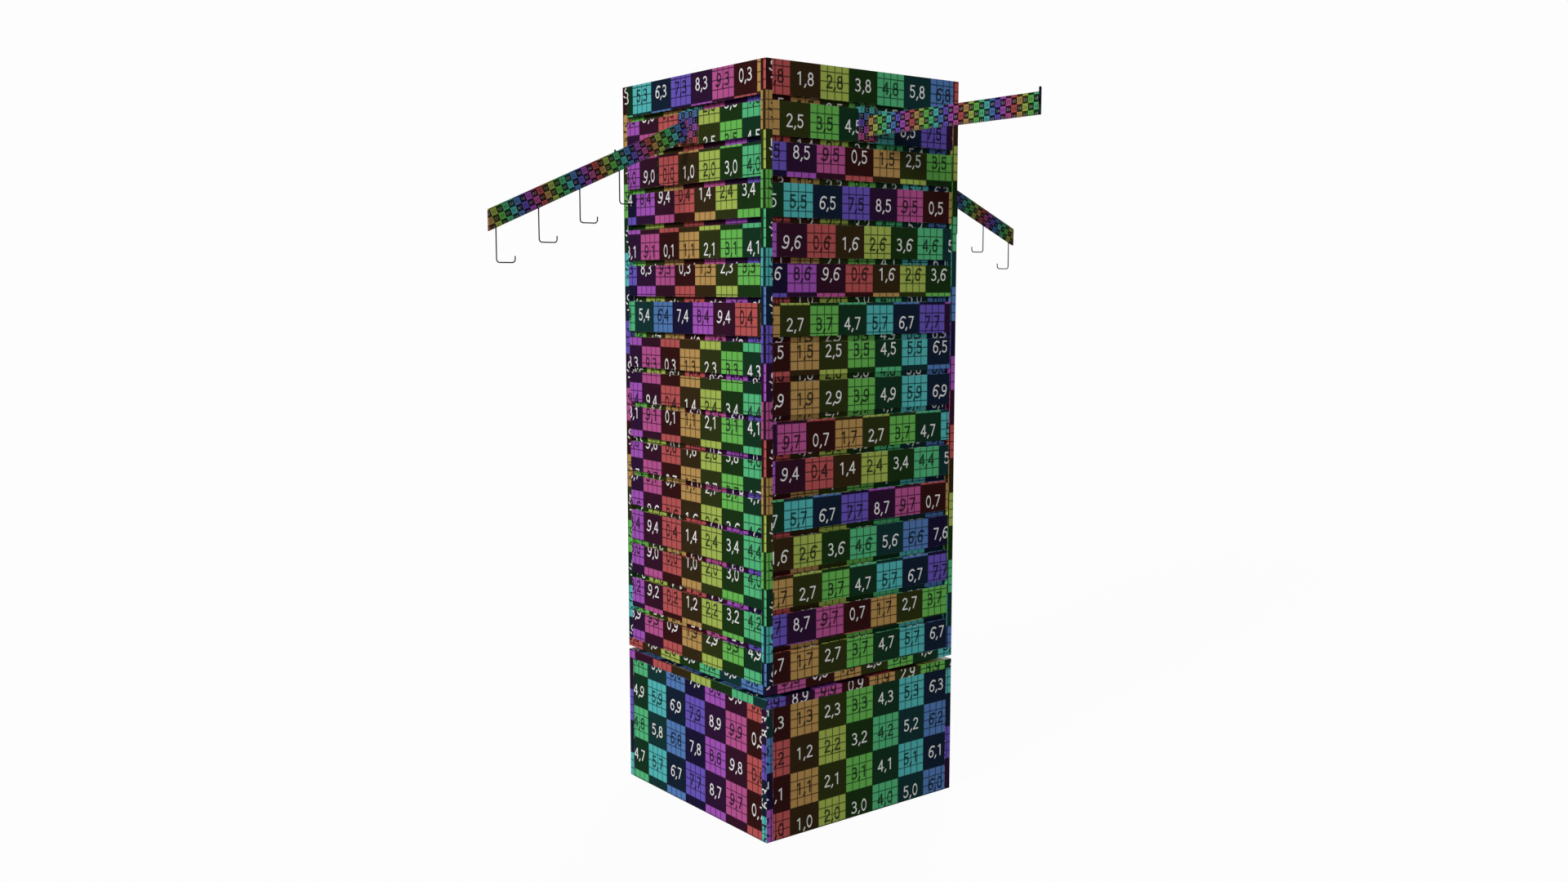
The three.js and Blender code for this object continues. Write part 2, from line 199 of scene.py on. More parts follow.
class Graph:
    """Adds nodes to a node tree. A socket or a plain value can be given for any input."""

    def __init__(self, tree):
        self.tree = tree

    def add(self, kind, inputs=(), output=0, **settings):
        node = self.tree.nodes.new(kind)
        for name, value in settings.items():
            setattr(node, name, value)
        pairs = inputs.items() if isinstance(inputs, dict) else enumerate(inputs)
        for key, value in pairs:
            self.feed(node.inputs[key], value)
        return node.outputs[output]

    def feed(self, socket, value):
        if isinstance(value, bpy.types.NodeSocket):
            self.tree.links.new(value, socket)
        else:
            socket.default_value = value

    def group(self, tree, **inputs):
        node = self.tree.nodes.new("ShaderNodeGroup")
        node.node_tree = tree
        for name, value in inputs.items():
            self.feed(node.inputs[name], value)
        return node.outputs

    def math(self, operation, *inputs, clamp=False):
        return self.add("ShaderNodeMath", inputs, operation=operation, use_clamp=clamp)

    def vector(self, operation, *inputs):
        output = 1 if operation in ("LENGTH", "DOT_PRODUCT") else 0
        return self.add("ShaderNodeVectorMath", inputs, output, operation=operation)

    def scaled(self, vector, factor):
        return self.add("ShaderNodeVectorMath", {0: vector, "Scale": factor}, operation="SCALE")

    def point(self, x, y):
        return self.add("ShaderNodeCombineXYZ", (x, y, 0.0))

    def grey(self, value):
        return self.add("ShaderNodeCombineXYZ", (value, value, value))

    def parts(self, vector):
        x = self.add("ShaderNodeSeparateXYZ", (vector,))
        return x, x.node.outputs[1]

    def least(self, values):
        result = values[0]
        for value in values[1:]:
            result = self.math("MINIMUM", result, value)
        return result

    def blend(self, factor, first, second):
        """A mix of two numbers."""
        difference = self.math("SUBTRACT", second, first)
        return self.math("MULTIPLY_ADD", difference, factor, first)

    def mix(self, factor, first, second, blend_type="MIX"):
        """A mix of two colours."""
        node = self.tree.nodes.new("ShaderNodeMix")
        node.data_type = "RGBA"
        node.blend_type = blend_type
        self.feed(node.inputs[0], factor)
        self.feed(node.inputs[6], first)
        self.feed(node.inputs[7], second)
        return node.outputs[2]

    def noise(self, scale, detail, roughness, place):
        inputs = {"Scale": scale, "Detail": detail, "Roughness": roughness, "Vector": place}
        return self.add("ShaderNodeTexNoise", inputs)

    def remap(self, value, low, high, to_low=0.0, to_high=1.0):
        return self.add("ShaderNodeMapRange", (value, low, high, to_low, to_high))


def new_group(name, inputs, outputs):
    tree = bpy.data.node_groups.new(name, "ShaderNodeTree")
    for label, kind in inputs.items():
        tree.interface.new_socket(name=label, in_out="INPUT", socket_type=kind)
    for label, kind in outputs.items():
        tree.interface.new_socket(name=label, in_out="OUTPUT", socket_type=kind)
    inside = tree.nodes.new("NodeGroupInput")
    outside = tree.nodes.new("NodeGroupOutput")
    return Graph(tree), inside.outputs, outside.inputs


# ---- the numerals of the print -----------------------------------------------------------------

# Numerals are drawn in fractions of a grid square, about their own middle. A stroke runs between
# two points. A ring is an ellipse about a centre, and a cut ring keeps only the part on the
# positive side of a line through a point.

def stroke(start, end):
    return "stroke", start, end, None


def ring(centre, radii, cut=None):
    return "ring", centre, radii, cut


NUMERALS = {
    0: [ring((0.0, 0.0), (0.082, 0.155))],
    1: [stroke((0.012, -0.155), (0.012, 0.155)), stroke((0.012, 0.155), (-0.062, 0.108))],
    2: [
        ring((-0.004, 0.076), (0.078, 0.079), ((-0.06, 0.1), (0.34, 0.94))),
        stroke((0.06, 0.03), (-0.083, -0.152)),
        stroke((-0.083, -0.155), (0.088, -0.155)),
    ],
    3: [
        ring((-0.014, 0.082), (0.078, 0.073), ((-0.055, 0.1), (0.9, 0.43))),
        ring((-0.018, -0.075), (0.094, 0.08), ((-0.055, -0.09), (0.86, -0.5))),
    ],
    4: [
        stroke((0.045, -0.155), (0.045, 0.155)),
        stroke((0.045, 0.155), (-0.098, -0.065)),
        stroke((-0.098, -0.068), (0.095, -0.068)),
    ],
    5: [
        stroke((-0.062, 0.155), (0.072, 0.155)),
        stroke((-0.058, 0.155), (-0.066, 0.03)),
        ring((-0.014, -0.056), (0.09, 0.099), ((-0.06, -0.05), (0.98, -0.2))),
    ],
    6: [
        ring((0.004, -0.064), (0.081, 0.091)),
        ring((0.062, -0.045), (0.139, 0.2), ((0.0, 0.02), (-0.62, 0.78))),
    ],
    7: [stroke((-0.082, 0.155), (0.086, 0.155)), stroke((0.086, 0.155), (-0.034, -0.155))],
    8: [ring((0.0, 0.083), (0.068, 0.072)), ring((0.0, -0.073), (0.082, 0.082))],
}
NINE_FROM_SIX = -3.0  # a nine is a six turned by half a turn
COMMA = ((0.014, -0.142), (-0.024, -0.214))


def flat(point):
    return Vector(point).to_3d()


def stroke_distance(graph, point, start, end):
    along = flat(end) - flat(start)
    offset = graph.vector("SUBTRACT", point, flat(start))
    reach = graph.vector("DOT_PRODUCT", offset, along / along.length_squared)
    clamped = graph.math("ADD", reach, 0.0, clamp=True)
    nearest = graph.scaled(along, clamped)
    return graph.vector("LENGTH", graph.vector("SUBTRACT", offset, nearest))


def ring_distance(graph, point, centre, radii, cut):
    offset = graph.vector("SUBTRACT", point, flat(centre))
    unit = graph.vector("MULTIPLY", offset, (1.0 / radii[0], 1.0 / radii[1], 0.0))
    away = graph.math("ABSOLUTE", graph.math("SUBTRACT", graph.vector("LENGTH", unit), 1.0))
    distance = graph.math("MULTIPLY", away, sum(radii) / 2.0)
    if cut is None:
        return distance
    through, normal = cut
    from_cut = graph.vector("SUBTRACT", point, flat(through))
    behind = graph.math("MULTIPLY", graph.vector("DOT_PRODUCT", from_cut, flat(normal)), -1.0)
    return graph.math("MAXIMUM", distance, behind)


def numeral_group():
    """Distance from a point to the centre line of the numeral's strokes."""
    graph, inputs, outputs = new_group(
        "numeral", {"Point": "NodeSocketVector", "Digit": "NodeSocketFloat"},
        {"Distance": "NodeSocketFloat"})
    is_nine = graph.math("COMPARE", inputs["Digit"], 9.0, 0.5)
    sense = graph.math("MULTIPLY_ADD", is_nine, -2.0, 1.0)
    point = graph.scaled(inputs["Point"], sense)
    shape = graph.math("MULTIPLY_ADD", is_nine, NINE_FROM_SIX, inputs["Digit"])
    distances = []
    for value, marks in NUMERALS.items():
        found = []
        for kind, first, second, cut in marks:
            if kind == "stroke":
                found.append(stroke_distance(graph, point, first, second))
            else:
                found.append(ring_distance(graph, point, first, second, cut))
        other = graph.math("SUBTRACT", 1.0, graph.math("COMPARE", shape, float(value), 0.5))
        distances.append(graph.math("ADD", graph.least(found), other))
    graph.feed(outputs["Distance"], graph.least(distances))
    return graph.tree


# ---- the colour grid ---------------------------------------------------------------------------

# All widths are fractions of a grid square.
LINE_SPACING = 0.25
LINE_HALF_WIDTH = 0.0145
WHITE_HALF_WIDTH = 0.0195
BLACK_HALF_WIDTH = 0.028
SOFTNESS = 0.006
COLUMN_DIGIT_AT = -0.182
ROW_DIGIT_AT = 0.178

LINE_STRENGTH = 0.86
BLACK_STRENGTH = 0.90
BRIGHT_SATURATION, BRIGHT_VALUE = 0.53, 0.70
DARK_SATURATION, DARK_VALUE = 0.54, 0.208
DISPLAY_GAMMA = 2.2
INK = (0.006, 0.007, 0.007, 1.0)
WHITE_INK = (0.78, 0.77, 0.76, 1.0)


def grid_group(numeral):
    """The numbered colour grid. The coordinates count squares: across in x and up in y. White
    says how strongly the light numerals print."""
    graph, inputs, outputs = new_group(
        "colour_grid", {"Coordinates": "NodeSocketVector", "White": "NodeSocketFloat"},
        {"Color": "NodeSocketColor"})
    x, y = graph.parts(inputs["Coordinates"])
    column, row = graph.math("FLOOR", x), graph.math("FLOOR", y)
    across = graph.math("SUBTRACT", graph.math("FRACT", x), 0.5)
    upward = graph.math("SUBTRACT", graph.math("FRACT", y), 0.5)
    column_digit = graph.math("FLOORED_MODULO", column, 10.0)
    row_digit = graph.math("FLOORED_MODULO", row, 10.0)
    parity = graph.math("FLOORED_MODULO", graph.math("ADD", column, row), 2.0)
    bright = graph.math("LESS_THAN", parity, 0.5)

    def within(distance, half_width):
        outer = graph.math("ADD", half_width, SOFTNESS)
        inner = graph.math("SUBTRACT", half_width, SOFTNESS)
        return graph.remap(distance, inner, outer, 1.0, 0.0)

    line_distances = []
    for value in (across, upward):
        from_start = graph.math("ADD", value, 0.5)
        line_distances.append(graph.math("PINGPONG", from_start, LINE_SPACING / 2))
    lines = within(graph.least(line_distances), LINE_HALF_WIDTH)

    is_row = graph.math("GREATER_THAN", across, 0.0)
    digit = graph.blend(is_row, column_digit, row_digit)
    centre = graph.blend(is_row, COLUMN_DIGIT_AT, ROW_DIGIT_AT)
    point = graph.point(graph.math("SUBTRACT", across, centre), upward)
    figure = graph.group(numeral, Point=point, Digit=digit)["Distance"]
    comma = stroke_distance(graph, graph.point(across, upward), *COMMA)
    half_width = graph.blend(bright, WHITE_HALF_WIDTH, BLACK_HALF_WIDTH)
    ink = within(graph.math("MINIMUM", figure, comma), half_width)

    hue = graph.math("DIVIDE", column_digit, 10.0)

    def shade(saturation, value):
        colour = graph.add("ShaderNodeCombineColor", (hue, saturation, value), mode="HSV")
        return graph.add("ShaderNodeGamma", (colour, DISPLAY_GAMMA))

    bright_colour = shade(BRIGHT_SATURATION, BRIGHT_VALUE)
    lined = graph.mix(graph.math("MULTIPLY", lines, LINE_STRENGTH), bright_colour, INK)
    bright_square = graph.mix(graph.math("MULTIPLY", ink, BLACK_STRENGTH), lined, INK)
    white = graph.math("MULTIPLY", ink, inputs["White"])
    dark_square = graph.mix(white, shade(DARK_SATURATION, DARK_VALUE), WHITE_INK)
    graph.feed(outputs["Color"], graph.mix(bright, dark_square, bright_square))
    return graph.tree


# ---- materials ---------------------------------------------------------------------------------

def new_material(name):
    material = bpy.data.materials.new(name)
    material.use_nodes = True
    graph = Graph(material.node_tree)
    shader = material.node_tree.nodes["Principled BSDF"]
    place = graph.add("ShaderNodeTexCoord", output="Object")
    return material, graph, shader, place


def finish_with(graph, shader, colour, gloss, height, bump_strength, bump_distance):
    bump_inputs = {"Strength": bump_strength, "Distance": bump_distance, "Height": height}
    graph.feed(shader.inputs["Base Color"], colour)
    graph.feed(shader.inputs["Roughness"], gloss)
    graph.feed(shader.inputs["Normal"], graph.add("ShaderNodeBump", bump_inputs))


def floor_material():
    material, graph, shader, place = new_material("studio_floor")
    cloud = graph.noise(1.5, 2.0, 0.5, place)
    colour = graph.mix(cloud, (0.035, 0.035, 0.035, 1.0), (0.045, 0.045, 0.045, 1.0))
    graph.feed(shader.inputs["Base Color"], colour)
    shader.inputs["Roughness"].default_value = 0.9
    shader.inputs["Specular IOR Level"].default_value = 0.0
    shader.inputs["Emission Color"].default_value = (1.0, 1.0, 1.0, 1.0)
    shader.inputs["Emission Strength"].default_value = 0.955
    return material


def backdrop_material():
    material, _, shader, _ = new_material("studio_backdrop")
    shader.inputs["Base Color"].default_value = (0.0, 0.0, 0.0, 1.0)
    shader.inputs["Specular IOR Level"].default_value = 0.0
    shader.inputs["Emission Color"].default_value = (1.0, 1.0, 1.0, 1.0)
    shader.inputs["Emission Strength"].default_value = 0.983
    return material


def print_material(name, grid, white, brightness, roughness, grain_scale, scuff_colour):
    """Satin sheet or coat printed with the colour grid: slight mottling, faintly rubbed edges
    and a fine grain."""
    material, graph, shader, place = new_material(name)
    where = graph.add("ShaderNodeUVMap", uv_map="print")
    printed = graph.group(grid, Coordinates=where, White=white)["Color"]
    mottle = graph.remap(graph.noise(14.0, 3.0, 0.55, place), 0.3, 0.7, 0.96, 1.04)
    tone = graph.grey(graph.math("MULTIPLY", mottle, brightness))
    colour = graph.mix(1.0, printed, tone, "MULTIPLY")
    edge = graph.add("ShaderNodeAttribute", attribute_name="edge", output="Fac")
    rubbed = graph.remap(graph.noise(90.0, 4.0, 0.6, place), 0.5, 0.68, 0.0, 0.35)
    colour = graph.mix(graph.math("MULTIPLY", edge, rubbed), colour, scuff_colour)
    gloss_noise = graph.noise(40.0, 3.0, 0.6, place)
    gloss = graph.remap(gloss_noise, 0.3, 0.7, roughness - 0.05, roughness + 0.06)
    grain = graph.noise(grain_scale, 2.0, 0.5, place)
    finish_with(graph, shader, colour, gloss, grain, 0.12, 0.0002)
    shader.inputs["Specular IOR Level"].default_value = 0.06
    return material


def raw_board_material():
    """Unfaced fibreboard: warm brown fibres, pressed flat."""
    material, graph, shader, place = new_material("raw_board")
    fibres = graph.noise(420.0, 5.0, 0.7, place)
    cloud = graph.noise(9.0, 3.0, 0.5, place)
    base = graph.mix(cloud, (0.40, 0.29, 0.18, 1.0), (0.52, 0.40, 0.26, 1.0))
    dark_fibres = graph.remap(fibres, 0.35, 0.7, 0.0, 0.45)
    colour = graph.mix(dark_fibres, base, (0.25, 0.17, 0.10, 1.0))
    gloss = graph.remap(fibres, 0.3, 0.7, 0.78, 0.92)
    finish_with(graph, shader, colour, gloss, fibres, 0.35, 0.0004)
    shader.inputs["Specular IOR Level"].default_value = 0.2
    return material


def zinc_material():
    """Zinc plated pressed steel: faint spangle and cloudy gloss."""
    material, graph, shader, place = new_material("zinc_steel")
    spangle = graph.add("ShaderNodeTexVoronoi", {"Vector": place, "Scale": 180.0}, "Distance")
    cloud = graph.noise(60.0, 3.0, 0.6, place)
    colour = graph.mix(spangle, (0.60, 0.61, 0.63, 1.0), (0.72, 0.72, 0.71, 1.0))
    gloss = graph.remap(cloud, 0.3, 0.7, 0.28, 0.46)
    finish_with(graph, shader, colour, gloss, cloud, 0.08, 0.0002)
    shader.inputs["Metallic"].default_value = 1.0
    return material


def plastic_material():
    """Black moulded plastic with a fine spark-eroded texture."""
    material, graph, shader, place = new_material("glide_plastic")
    texture = graph.noise(900.0, 3.0, 0.6, place)
    colour = graph.mix(texture, (0.018, 0.018, 0.019, 1.0), (0.04, 0.04, 0.041, 1.0))
    gloss = graph.remap(texture, 0.3, 0.7, 0.5, 0.62)
    finish_with(graph, shader, colour, gloss, texture, 0.25, 0.0001)
    return material


grid_print = grid_group(numeral_group())
BARE_BOARD = (0.42, 0.38, 0.32, 1.0)
BARE_STEEL = (0.30, 0.31, 0.32, 1.0)
MATERIALS = {
    "printed_board": print_material(
        "printed_board", grid_print, white=1.0, brightness=1.0, roughness=0.55,
        grain_scale=1500.0, scuff_colour=BARE_BOARD),
    "printed_steel": print_material(
        "printed_steel", grid_print, white=0.5, brightness=0.90, roughness=0.50,
        grain_scale=2200.0, scuff_colour=BARE_STEEL),
    "hook_wire": print_material(
        "hook_wire", grid_print, white=0.4, brightness=0.10, roughness=0.45,
        grain_scale=1400.0, scuff_colour=BARE_STEEL),
    "raw_board": raw_board_material(),
    "zinc_steel": zinc_material(),
    "glide_plastic": plastic_material(),
}


# ---- mesh tools --------------------------------------------------------------------------------

def cad_mesh(node):
    """The CAD node's shape with its triangles joined back into flat faces."""
    shape = bmesh.new()
    shape.from_mesh(frame["nodes"][node].data)
    bmesh.ops.remove_doubles(shape, verts=shape.verts, dist=1e-5)
    angle = math.radians(1)
    bmesh.ops.dissolve_limit(shape, angle_limit=angle, verts=shape.verts, edges=shape.edges)
    for layer in list(shape.loops.layers.uv.values()):
        shape.loops.layers.uv.remove(layer)
    return shape


def sharp_edges(shape, least_angle=math.radians(25)):
    return [edge for edge in shape.edges
            if edge.is_manifold and edge.calc_face_angle(0.0) > least_angle]


def runs_along(edge, axis):
    direction = (edge.verts[1].co - edge.verts[0].co).normalized()
    return abs(direction.dot(axis)) > 0.9


def round_edges(shape, edges, width, segments):
    """Rounds the given edges, and returns the new faces."""
    made = bmesh.ops.bevel(
        shape, geom=edges, offset=width, offset_type="OFFSET", segments=segments, profile=0.5,
        affect="EDGES", clamp_overlap=True)
    return made["faces"]


def ease_edges(shape, width, segments=2):
    """Rounds all sharp edges, and marks the new faces as edges for the materials."""
    layer = shape.faces.layers.float.new("edge")
    for face in round_edges(shape, sharp_edges(shape), width, segments):
        face[layer] = 1.0
    return shape


def add_loft(shape, loops, closed=False):
    """Skins a row of equal loops of points. An open row gets a cap at both ends."""
    rings = [[shape.verts.new(point) for point in loop] for loop in loops]
    pairs = list(zip(rings, rings[1:]))
    if closed:
        pairs.append((rings[-1], rings[0]))
    count = len(rings[0])
    for near, far in pairs:
        for index in range(count):
            following = (index + 1) % count
            shape.faces.new((near[index], near[following], far[following], far[index]))
    if not closed:
        shape.faces.new(list(reversed(rings[0])))
        shape.faces.new(rings[-1])
    return shape


def circle(centre, first, second, radius, count):
    """Points around a circle in the plane of two unit directions."""
    points = []
    for index in range(count):
        angle = 2 * math.pi * index / count
        points.append(centre + radius * (math.cos(angle) * first + math.sin(angle) * second))
    return points


def turned(profile, centre, count):
    """A turned solid from (radius, height) pairs that start and end on the axis."""
    shape = bmesh.new()
    loops = []
    for radius, height in profile[1:-1]:
        loops.append(circle(centre + height * UP, X_AXIS, Y_AXIS, radius, count))
    rings = [[shape.verts.new(point) for point in loop] for loop in loops]
    for near, far in zip(rings, rings[1:]):
        for index in range(count):
            following = (index + 1) % count
            shape.faces.new((near[index], near[following], far[following], far[index]))
    for ring_points, (_, height) in ((rings[0], profile[0]), (rings[-1], profile[-1])):
        pole = shape.verts.new(centre + height * UP)
        for index in range(count):
            shape.faces.new((pole, ring_points[index], ring_points[(index + 1) % count]))
    return shape


def add_bead(shape, path, axis, radius, ripples):
    """A closed weld bead along a loop of points that lies across the axis."""
    centre = sum(path, Vector()) / len(path)
    loops = []
    for index, point in enumerate(path):
        away = (point - centre).normalized()
        swell = 1.0 + WELD_SWELL * math.sin(2 * math.pi * ripples * index / len(path))
        loops.append(circle(point, away, axis, radius * swell, BEAD_SIDES))
    return add_loft(shape, loops, closed=True)


def print_on(shape, mapping):
    """Lays the print on each face. The mapping gives, for a face, (column, row) at the origin
    and the two directions in which columns and rows count up, divided by the square's size."""
    layer = shape.loops.layers.uv.new("print")
    for face in shape.faces:
        origin, across, upward = mapping(face.calc_center_median(), face.normal)
        for corner in face.loops:
            spot = corner.vert.co
            corner[layer].uv = (origin[0] + across.dot(spot), origin[1] + upward.dot(spot))
    return shape


def place(node, shape):
    """Makes the piece that stands for a CAD node."""
    data = bpy.data.meshes.new(f"{node}_look")
    bmesh.ops.recalc_face_normals(shape, faces=shape.faces)
    shape.to_mesh(data)
    shape.free()
    data.polygons.foreach_set("use_smooth", [True] * len(data.polygons))
    data.materials.append(MATERIALS[SLOT_OF[node]])
    piece = link(f"{node}_look", data)
    weighted = piece.modifiers.new("even_normals", "WEIGHTED_NORMAL")
    weighted.weight = 100
    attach(piece, BODY_OF[node])
    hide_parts(node)
    return piece


# ---- where the print lies ----------------------------------------------------------------------

def side_facing(normal):
    return max(SIDES, key=lambda side: OUTWARD[side].dot(normal))


def upright_map(side, column, row, level, tile=BOARD_TILE):
    """Print on an upright face: column at the face's left edge, row at a level."""
    across = RIGHTWARD[side] / tile
    return (column + HALF / tile, row - level / tile), across, UP / tile


SLOT_BACK_FRONT = (3.89, 20.94)  # column at the left edge and row at the floor, upside down
SLOT_BACK_RIGHT = (0.06, -14.195)  # the same, upright
LEVEL_PRINT = (6.4, 7.68)  # column at the front edge and row at the left edge, seen from above


def slat_map(side):
    """Print on a slatted panel. Each slat was cut from its own sheet, and the back of the slots
    is one sheet."""
    outward = OUTWARD[side]
    across = RIGHTWARD[side] / BOARD_TILE
    depth = outward / BOARD_TILE

    def mapping(middle, normal):
        inward = HALF - outward.dot(middle)
        level = abs(normal.z) > FACING
        number = min(int((TOWER_TOP - middle.z) / SLAT_PITCH), len(SLATS[side]) - 1)
        if inward < LIP_THICKNESS and not level:
            column, row = SLATS[side][max(number, 0)]
            return upright_map(side, column, row, TOWER_TOP - number * SLAT_PITCH)
        if side in ("front", "back"):
            column, row = SLOT_BACK_FRONT
            return (column - HALF / BOARD_TILE, row), -across, depth if level else -UP / BOARD_TILE
        column, row = SLOT_BACK_RIGHT
        return (column + HALF / BOARD_TILE, row), across, -depth if level else UP / BOARD_TILE

    return mapping


def level_map(normal):
    """Print on a level face. Its columns count towards the back, and its rows to the left."""
    sense = 1.0 if normal.z > 0 else -1.0
    column, row = LEVEL_PRINT
    origin = (column + HALF / BOARD_TILE, row - HALF / BOARD_TILE)
    return origin, Y_AXIS / BOARD_TILE, -sense * X_AXIS / BOARD_TILE


def board_map(columns, rows, level):
    """Print on a flat board, with its own column and row on each side edge."""

    def mapping(middle, normal):
        if abs(normal.z) > FACING:
            return level_map(normal)
        side = side_facing(normal)
        return upright_map(side, columns[side], rows[side], level)

    return mapping


def facing(front_and_back, right_and_left):
    return {"front": front_and_back, "back": front_and_back,
            "right": right_and_left, "left": right_and_left}


# The print on posts is turned. For each face: the column at the post's top, 1 where columns count
# up the post or -1 where they count down it, and the row at the outer edge of the face's left and
# right post.
TOWER_POSTS = facing((0.21, -1, 1.21, 8.11), (0.21, -1, 1.16, 8.18))
PLINTH_POSTS = facing((8.98, 1, 1.95, 3.43), (5.22, -1, 4.60, 3.90))


def post_map(level, prints):
    """Turned print on a corner post."""

    def mapping(middle, normal):
        if abs(normal.z) > FACING:
            return level_map(normal)
        side = side_facing(normal)
        column, sense, left_row, right_row = prints[side]
        rightward = RIGHTWARD[side]
        row, edge = (left_row, -HALF) if rightward.dot(middle) < 0 else (right_row, HALF)
        origin = (column - sense * level / BOARD_TILE, row + sense * edge / BOARD_TILE)
        return origin, sense * UP / BOARD_TILE, -sense * rightward / BOARD_TILE

    return mapping


# ---- boards, panels and posts ------------------------------------------------------------------

def add_slat_panels():
    for side in SIDES:
        node = f"slat_panel_{side}"
        place(node, print_on(ease_edges(cad_mesh(node), BOARD_EDGE), slat_map(side)))


def add_plinth_panels():
    mapping = board_map(facing(3.97, 0.19), facing(10.44, 3.94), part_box("plinth_panel_front")[1].z)
    for side in SIDES:
        node = f"plinth_panel_{side}"
        place(node, print_on(ease_edges(cad_mesh(node), BOARD_EDGE), mapping))


def add_printed_boards():
    edges = {
        "plinth_top_board": (facing(8.67, 7.34), facing(1.02, 9.62)),
        "tower_bottom_board": (facing(0.23, 8.64), facing(8.41, 5.41)),
        "tower_top_board": (facing(0.3, 0.3), facing(0.3, 0.3)),
    }
    for node, (columns, rows) in edges.items():
        mapping = board_map(columns, rows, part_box(node)[1].z)
        place(node, print_on(ease_edges(cad_mesh(node), BOARD_EDGE), mapping))


def add_posts():
    for corner in CORNERS:
        for kind, prints in (("plinth", PLINTH_POSTS), ("tower", TOWER_POSTS)):
            node = f"{kind}_post_{corner}"
            mapping = post_map(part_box(node)[1].z, prints)
            place(node, print_on(ease_edges(cad_mesh(node), BOARD_EDGE), mapping))


def add_raw_boards():
    for node, slot in SLOT_OF.items():
        if slot == "raw_board":
            place(node, ease_edges(cad_mesh(node), RAW_EDGE))


# ---- arms, built on the front face and turned to their own -------------------------------------

# Where the print lies on the arms. A pair is a column and a row.
WATERFALL_BRACKET_PRINT = (10.92, 2.24)  # at the plate's foot and left edge
STRAIGHT_BRACKET_PRINT = (10.23, 1.12)
STRAIGHT_LEFT_COLUMN = 0.90  # at the bracket, on the bar's left side
STRAIGHT_RIGHT_COLUMN = 35.9
STRAIGHT_TOP_ROW = 6.34
WATERFALL_TIP_COLUMN = 1.25
WATERFALL_TOP_ROW = 3.12  # at the upper edge of the right side
WATERFALL_BOTTOM_ROW = 3.0  # at the lower edge of the left side
WATERFALL_TIP_PRINT = (1.3, 0.3)
TAB_TOP_COLUMN = 7.4
TAB_ROW = 0.2
TAB_EDGE_ROW = 0.1
NARROW_EDGE = 0.3  # where the count across a narrow edge starts


def local_box(node, side):
    """The node's box as it would be on the front face."""
    turn = Matrix.Rotation(-SIDES.index(side) * math.pi / 2, 3, "Z")
    ends = [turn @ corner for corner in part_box(node)]
    low = Vector([min(pair) for pair in zip(*ends)])
    high = Vector([max(pair) for pair in zip(*ends)])
    return low, high


def turn_shape(shape, side, quarters=1):
    matrix = Matrix.Rotation(quarters * SIDES.index(side) * math.pi / 2, 3, "Z")
    bmesh.ops.rotate(shape, matrix=matrix, verts=shape.verts)
    return shape


def local_cad_mesh(node, side):
    return turn_shape(cad_mesh(node), side, -1)


def bracket_map(low, column, row):
    """Print turned so that its columns count down the plate."""

    def mapping(middle, normal):
        if abs(normal.x) > FACING:
            rowward = Y_AXIS if normal.x > 0 else -Y_AXIS
            origin = (column + low.z / ARM_TILE, NARROW_EDGE)
            return origin, -UP / ARM_TILE, rowward / ARM_TILE
        if abs(normal.z) > FACING:
            rowward = X_AXIS if normal.z > 0 else -X_AXIS
            return (column, row), Y_AXIS / ARM_TILE, rowward / ARM_TILE
        rowward = X_AXIS if normal.y < 0 else -X_AXIS
        origin = (column + low.z / ARM_TILE, row - low.x / ARM_TILE)
        return origin, -UP / ARM_TILE, rowward / ARM_TILE

    return mapping


def add_bracket(node, side, column, row):
    low, high = local_box(node, side)
    shape = local_cad_mesh(node, side)
    bends = [edge for edge in sharp_edges(shape)
             if runs_along(edge, X_AXIS) and edge.is_convex]
    round_edges(shape, bends, BEND_RADIUS, 4)
    ease_edges(shape, STEEL_EDGE)
    print_on(shape, bracket_map(low, column, row))
    place(node, turn_shape(shape, side))


def rectangle_path(low_x, high_x, low_z, high_z, y, step):
    """Points around an upright rectangle, at an even step."""
    corners = [(low_x, low_z), (high_x, low_z), (high_x, high_z), (low_x, high_z)]
    points = []
    for (x0, z0), (x1, z1) in zip(corners, corners[1:] + corners[:1]):
        count = max(2, round(math.hypot(x1 - x0, z1 - z0) / step))
        for index in range(count):
            part = index / count
            points.append(Vector((x0 + (x1 - x0) * part, y, z0 + (z1 - z0) * part)))
    return points


def straight_bar_map(low, high):
    """Upright print. Its columns count from left to right on both sides of the bar."""

    def mapping(middle, normal):
        left_column = STRAIGHT_LEFT_COLUMN + high.y / ARM_TILE
        right_column = STRAIGHT_RIGHT_COLUMN - high.y / ARM_TILE
        row = STRAIGHT_TOP_ROW - high.z / ARM_TILE
        if normal.x > FACING:
            return (right_column, row), Y_AXIS / ARM_TILE, UP / ARM_TILE
        if normal.x < -FACING:
            return (left_column, row), -Y_AXIS / ARM_TILE, UP / ARM_TILE
        if abs(normal.z) > FACING:
            rowward = X_AXIS if normal.z > 0 else -X_AXIS
            return (left_column, NARROW_EDGE), -Y_AXIS / ARM_TILE, rowward / ARM_TILE
        return (NARROW_EDGE, row), X_AXIS / ARM_TILE, UP / ARM_TILE

    return mapping


